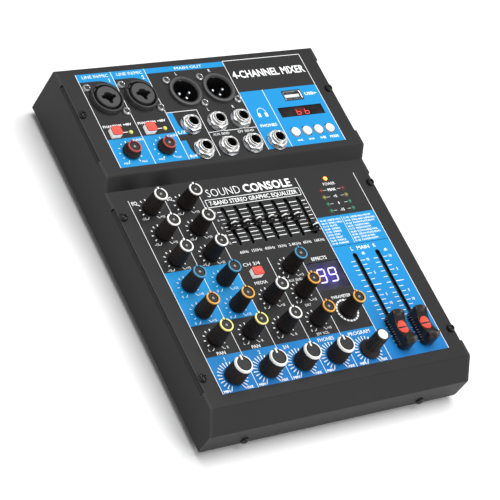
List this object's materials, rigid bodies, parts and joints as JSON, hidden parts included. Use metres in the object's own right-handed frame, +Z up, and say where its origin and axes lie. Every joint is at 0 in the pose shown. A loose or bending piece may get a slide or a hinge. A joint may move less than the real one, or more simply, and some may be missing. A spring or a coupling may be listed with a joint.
{
  "type": "mixing console",
  "caption": "Compact desktop audio mixing console: folded sheet-metal casing, knobs, sliders, faders and push buttons that move, and input and output sockets.",
  "frame": {"origin": "on the table under the middle of the console: bottom centre of its box, at the undersides of the rubber feet", "axes": "+X to the user's right, +Y from the front edge to the rear connectors, +Z up"},
  "size_m": [0.2, 0.2532, 0.0518],
  "materials": {
    "casing_black": "fine-textured powder coat",
    "circuit_board": "green solder mask",
    "spacer_brass": "bright turned",
    "pot_body": "moulded",
    "slide_pot_steel": "plated",
    "switch_body": "moulded",
    "connector_black": "satin moulded",
    "connector_grey": "satin moulded",
    "jack_steel": "nickel plated",
    "screw_black": "black zinc",
    "screw_steel": "zinc plated",
    "foot_rubber": "matte",
    "light_lens": "translucent",
    "display_window": "tinted window",
    "usb_steel": "plated",
    "inlet_black": "moulded",
    "ribbon_grey": "ribbon insulation",
    "knob_black": "satin moulded",
    "knob_ring": "moulded insert",
    "button_red": "moulded",
    "button_white": "moulded",
    "print_white": "screen print",
    "print_blue": "screen print"
  },
  "bodies": {
    "casing": {"top_panel": "casing_black", "bottom_tray": "casing_black", "circuit_boards": "circuit_board", "board_spacers": "spacer_brass", "rotary_pots": "pot_body", "slide_pots": "slide_pot_steel", "push_switches": "switch_body", "combo_jacks": "connector_black", "output_connectors": "connector_grey", "phone_jacks": "jack_steel", "jack_nuts": "jack_steel", "screws": "screw_black", "rubber_feet": "foot_rubber", "indicator_lights": "light_lens", "display_modules": "display_window", "usb_socket": "usb_steel", "power_inlet": "inlet_black", "ribbon_cables": "ribbon_grey"},
    "ch1_gain_knob": {"ch1_gain_knob": "knob_black"},
    "ch1_pan_knob": {"ch1_pan_knob": "knob_black"},
    "ch1_effect_knob": {"ch1_effect_knob": "knob_black"},
    "ch1_aux_knob": {"ch1_aux_knob": "knob_black"},
    "ch1_low_knob": {"ch1_low_knob": "knob_black"},
    "ch1_mid_knob": {"ch1_mid_knob": "knob_black"},
    "ch1_high_knob": {"ch1_high_knob": "knob_black"},
    "ch1_level_knob": {"ch1_level_knob": "knob_black"},
    "ch2_gain_knob": {"ch2_gain_knob": "knob_black"},
    "ch2_pan_knob": {"ch2_pan_knob": "knob_black"},
    "ch2_effect_knob": {"ch2_effect_knob": "knob_black"},
    "ch2_aux_knob": {"ch2_aux_knob": "knob_black"},
    "ch2_low_knob": {"ch2_low_knob": "knob_black"},
    "ch2_mid_knob": {"ch2_mid_knob": "knob_black"},
    "ch2_high_knob": {"ch2_high_knob": "knob_black"},
    "ch2_level_knob": {"ch2_level_knob": "knob_black"},
    "line_balance_knob": {"line_balance_knob": "knob_black"},
    "line_aux_knob": {"line_aux_knob": "knob_black"},
    "line_level_knob": {"line_level_knob": "knob_black"},
    "effect_return_knob": {"effect_return_knob": "knob_black"},
    "effect_send_knob": {"effect_send_knob": "knob_black"},
    "aux_send_knob": {"aux_send_knob": "knob_black"},
    "phones_level_knob": {"phones_level_knob": "knob_black"},
    "parameter_knob": {"parameter_knob": "knob_black"},
    "program_knob": {"program_knob": "knob_black"},
    "eq_slider_1": {"eq_slider_1": "knob_black"},
    "eq_slider_2": {"eq_slider_2": "knob_black"},
    "eq_slider_3": {"eq_slider_3": "knob_black"},
    "eq_slider_4": {"eq_slider_4": "knob_black"},
    "eq_slider_5": {"eq_slider_5": "knob_black"},
    "eq_slider_6": {"eq_slider_6": "knob_black"},
    "eq_slider_7": {"eq_slider_7": "knob_black"},
    "left_fader": {"left_fader": "knob_black"},
    "right_fader": {"right_fader": "knob_black"},
    "ch1_phantom_button": {"ch1_phantom_button": "button_red"},
    "ch2_phantom_button": {"ch2_phantom_button": "button_red"},
    "source_button": {"source_button": "button_red"},
    "media_button_1": {"media_button_1": "button_white"},
    "media_button_2": {"media_button_2": "button_white"},
    "media_button_3": {"media_button_3": "button_white"},
    "media_button_4": {"media_button_4": "button_white"},
    "power_rocker": {"power_rocker": "button_red"}
  },
  "joints": [
    {"name": "ch1_gain_knob_turn", "type": "hinge", "parent": "casing", "child": "ch1_gain_knob", "pos_m": [-0.075, 0.0599, 0.0419], "axis": [0, 0, 1], "range_deg": [-150, 150]},
    {"name": "ch1_pan_knob_turn", "type": "hinge", "parent": "casing", "child": "ch1_pan_knob", "pos_m": [-0.0745, -0.07, 0.0336], "axis": [0, 0, 1], "range_deg": [-150, 150]},
    {"name": "ch1_effect_knob_turn", "type": "hinge", "parent": "casing", "child": "ch1_effect_knob", "pos_m": [-0.0745, -0.0513, 0.0336], "axis": [0, 0, 1], "range_deg": [-150, 150]},
    {"name": "ch1_aux_knob_turn", "type": "hinge", "parent": "casing", "child": "ch1_aux_knob", "pos_m": [-0.0745, -0.0326, 0.0336], "axis": [0, 0, 1], "range_deg": [-150, 150]},
    {"name": "ch1_low_knob_turn", "type": "hinge", "parent": "casing", "child": "ch1_low_knob", "pos_m": [-0.0745, -0.0139, 0.0336], "axis": [0, 0, 1], "range_deg": [-150, 150]},
    {"name": "ch1_mid_knob_turn", "type": "hinge", "parent": "casing", "child": "ch1_mid_knob", "pos_m": [-0.0745, 0.0048, 0.0336], "axis": [0, 0, 1], "range_deg": [-150, 150]},
    {"name": "ch1_high_knob_turn", "type": "hinge", "parent": "casing", "child": "ch1_high_knob", "pos_m": [-0.0745, 0.0235, 0.0336], "axis": [0, 0, 1], "range_deg": [-150, 150]},
    {"name": "ch1_level_knob_turn", "type": "hinge", "parent": "casing", "child": "ch1_level_knob", "pos_m": [-0.0745, -0.0958, 0.0336], "axis": [0, 0, 1], "range_deg": [-150, 150]},
    {"name": "ch2_gain_knob_turn", "type": "hinge", "parent": "casing", "child": "ch2_gain_knob", "pos_m": [-0.04955, 0.0599, 0.0419], "axis": [0, 0, 1], "range_deg": [-150, 150]},
    {"name": "ch2_pan_knob_turn", "type": "hinge", "parent": "casing", "child": "ch2_pan_knob", "pos_m": [-0.04905, -0.07, 0.0336], "axis": [0, 0, 1], "range_deg": [-150, 150]},
    {"name": "ch2_effect_knob_turn", "type": "hinge", "parent": "casing", "child": "ch2_effect_knob", "pos_m": [-0.04905, -0.0513, 0.0336], "axis": [0, 0, 1], "range_deg": [-150, 150]},
    {"name": "ch2_aux_knob_turn", "type": "hinge", "parent": "casing", "child": "ch2_aux_knob", "pos_m": [-0.04905, -0.0326, 0.0336], "axis": [0, 0, 1], "range_deg": [-150, 150]},
    {"name": "ch2_low_knob_turn", "type": "hinge", "parent": "casing", "child": "ch2_low_knob", "pos_m": [-0.04905, -0.0139, 0.0336], "axis": [0, 0, 1], "range_deg": [-150, 150]},
    {"name": "ch2_mid_knob_turn", "type": "hinge", "parent": "casing", "child": "ch2_mid_knob", "pos_m": [-0.04905, 0.0048, 0.0336], "axis": [0, 0, 1], "range_deg": [-150, 150]},
    {"name": "ch2_high_knob_turn", "type": "hinge", "parent": "casing", "child": "ch2_high_knob", "pos_m": [-0.04905, 0.0235, 0.0336], "axis": [0, 0, 1], "range_deg": [-150, 150]},
    {"name": "ch2_level_knob_turn", "type": "hinge", "parent": "casing", "child": "ch2_level_knob", "pos_m": [-0.04905, -0.0958, 0.0336], "axis": [0, 0, 1], "range_deg": [-150, 150]},
    {"name": "line_balance_knob_turn", "type": "hinge", "parent": "casing", "child": "line_balance_knob", "pos_m": [-0.0236, -0.07, 0.0336], "axis": [0, 0, 1], "range_deg": [-150, 150]},
    {"name": "line_aux_knob_turn", "type": "hinge", "parent": "casing", "child": "line_aux_knob", "pos_m": [-0.0226, -0.0494, 0.0336], "axis": [0, 0, 1], "range_deg": [-150, 150]},
    {"name": "line_level_knob_turn", "type": "hinge", "parent": "casing", "child": "line_level_knob", "pos_m": [-0.0236, -0.0958, 0.0336], "axis": [0, 0, 1], "range_deg": [-150, 150]},
    {"name": "effect_return_knob_turn", "type": "hinge", "parent": "casing", "child": "effect_return_knob", "pos_m": [0.00185, -0.07, 0.0336], "axis": [0, 0, 1], "range_deg": [-150, 150]},
    {"name": "effect_send_knob_turn", "type": "hinge", "parent": "casing", "child": "effect_send_knob", "pos_m": [0.00185, -0.0494, 0.0336], "axis": [0, 0, 1], "range_deg": [-150, 150]},
    {"name": "aux_send_knob_turn", "type": "hinge", "parent": "casing", "child": "aux_send_knob", "pos_m": [0.00185, -0.0311, 0.0336], "axis": [0, 0, 1], "range_deg": [-150, 150]},
    {"name": "phones_level_knob_turn", "type": "hinge", "parent": "casing", "child": "phones_level_knob", "pos_m": [0.00185, -0.0958, 0.0336], "axis": [0, 0, 1], "range_deg": [-150, 150]},
    {"name": "parameter_knob_turn", "type": "hinge", "parent": "casing", "child": "parameter_knob", "pos_m": [0.027, -0.0674, 0.0336], "axis": [0, 0, 1], "range_deg": [-150, 150]},
    {"name": "program_knob_turn", "type": "hinge", "parent": "casing", "child": "program_knob", "pos_m": [0.0275, -0.0964, 0.0336], "axis": [0, 0, 1], "range_deg": [-150, 150]},
    {"name": "eq_slider_1_slide", "type": "slide", "parent": "casing", "child": "eq_slider_1", "axis": [0, 1, 0], "range_m": [-0.0117, 0.0123]},
    {"name": "eq_slider_2_slide", "type": "slide", "parent": "casing", "child": "eq_slider_2", "axis": [0, 1, 0], "range_m": [-0.0117, 0.0123]},
    {"name": "eq_slider_3_slide", "type": "slide", "parent": "casing", "child": "eq_slider_3", "axis": [0, 1, 0], "range_m": [-0.0124, 0.0116]},
    {"name": "eq_slider_4_slide", "type": "slide", "parent": "casing", "child": "eq_slider_4", "axis": [0, 1, 0], "range_m": [-0.0125, 0.0115]},
    {"name": "eq_slider_5_slide", "type": "slide", "parent": "casing", "child": "eq_slider_5", "axis": [0, 1, 0], "range_m": [-0.0116, 0.0124]},
    {"name": "eq_slider_6_slide", "type": "slide", "parent": "casing", "child": "eq_slider_6", "axis": [0, 1, 0], "range_m": [-0.0116, 0.0124]},
    {"name": "eq_slider_7_slide", "type": "slide", "parent": "casing", "child": "eq_slider_7", "axis": [0, 1, 0], "range_m": [-0.002, 0.022]},
    {"name": "left_fader_slide", "type": "slide", "parent": "casing", "child": "left_fader", "axis": [0, 1, 0], "range_m": [-0.0029, 0.0571]},
    {"name": "right_fader_slide", "type": "slide", "parent": "casing", "child": "right_fader", "axis": [0, 1, 0], "range_m": [-0.0029, 0.0571]},
    {"name": "ch1_phantom_button_push", "type": "slide", "parent": "casing", "child": "ch1_phantom_button", "axis": [0, 0, -1], "range_m": [0, 0.002], "stiffness_N_per_m": 400},
    {"name": "ch2_phantom_button_push", "type": "slide", "parent": "casing", "child": "ch2_phantom_button", "axis": [0, 0, -1], "range_m": [0, 0.002], "stiffness_N_per_m": 400},
    {"name": "source_button_push", "type": "slide", "parent": "casing", "child": "source_button", "axis": [0, 0, -1], "range_m": [0, 0.002], "stiffness_N_per_m": 400},
    {"name": "media_button_1_push", "type": "slide", "parent": "casing", "child": "media_button_1", "axis": [0, 0, -1], "range_m": [0, 0.0006], "stiffness_N_per_m": 800},
    {"name": "media_button_2_push", "type": "slide", "parent": "casing", "child": "media_button_2", "axis": [0, 0, -1], "range_m": [0, 0.0006], "stiffness_N_per_m": 800},
    {"name": "media_button_3_push", "type": "slide", "parent": "casing", "child": "media_button_3", "axis": [0, 0, -1], "range_m": [0, 0.0006], "stiffness_N_per_m": 800},
    {"name": "media_button_4_push", "type": "slide", "parent": "casing", "child": "media_button_4", "axis": [0, 0, -1], "range_m": [0, 0.0006], "stiffness_N_per_m": 800},
    {"name": "power_rocker_tilt", "type": "hinge", "parent": "casing", "child": "power_rocker", "pos_m": [0.076, 0.1222, 0.024], "axis": [1, 0, 0], "range_deg": [-16, 0]}
  ]
}
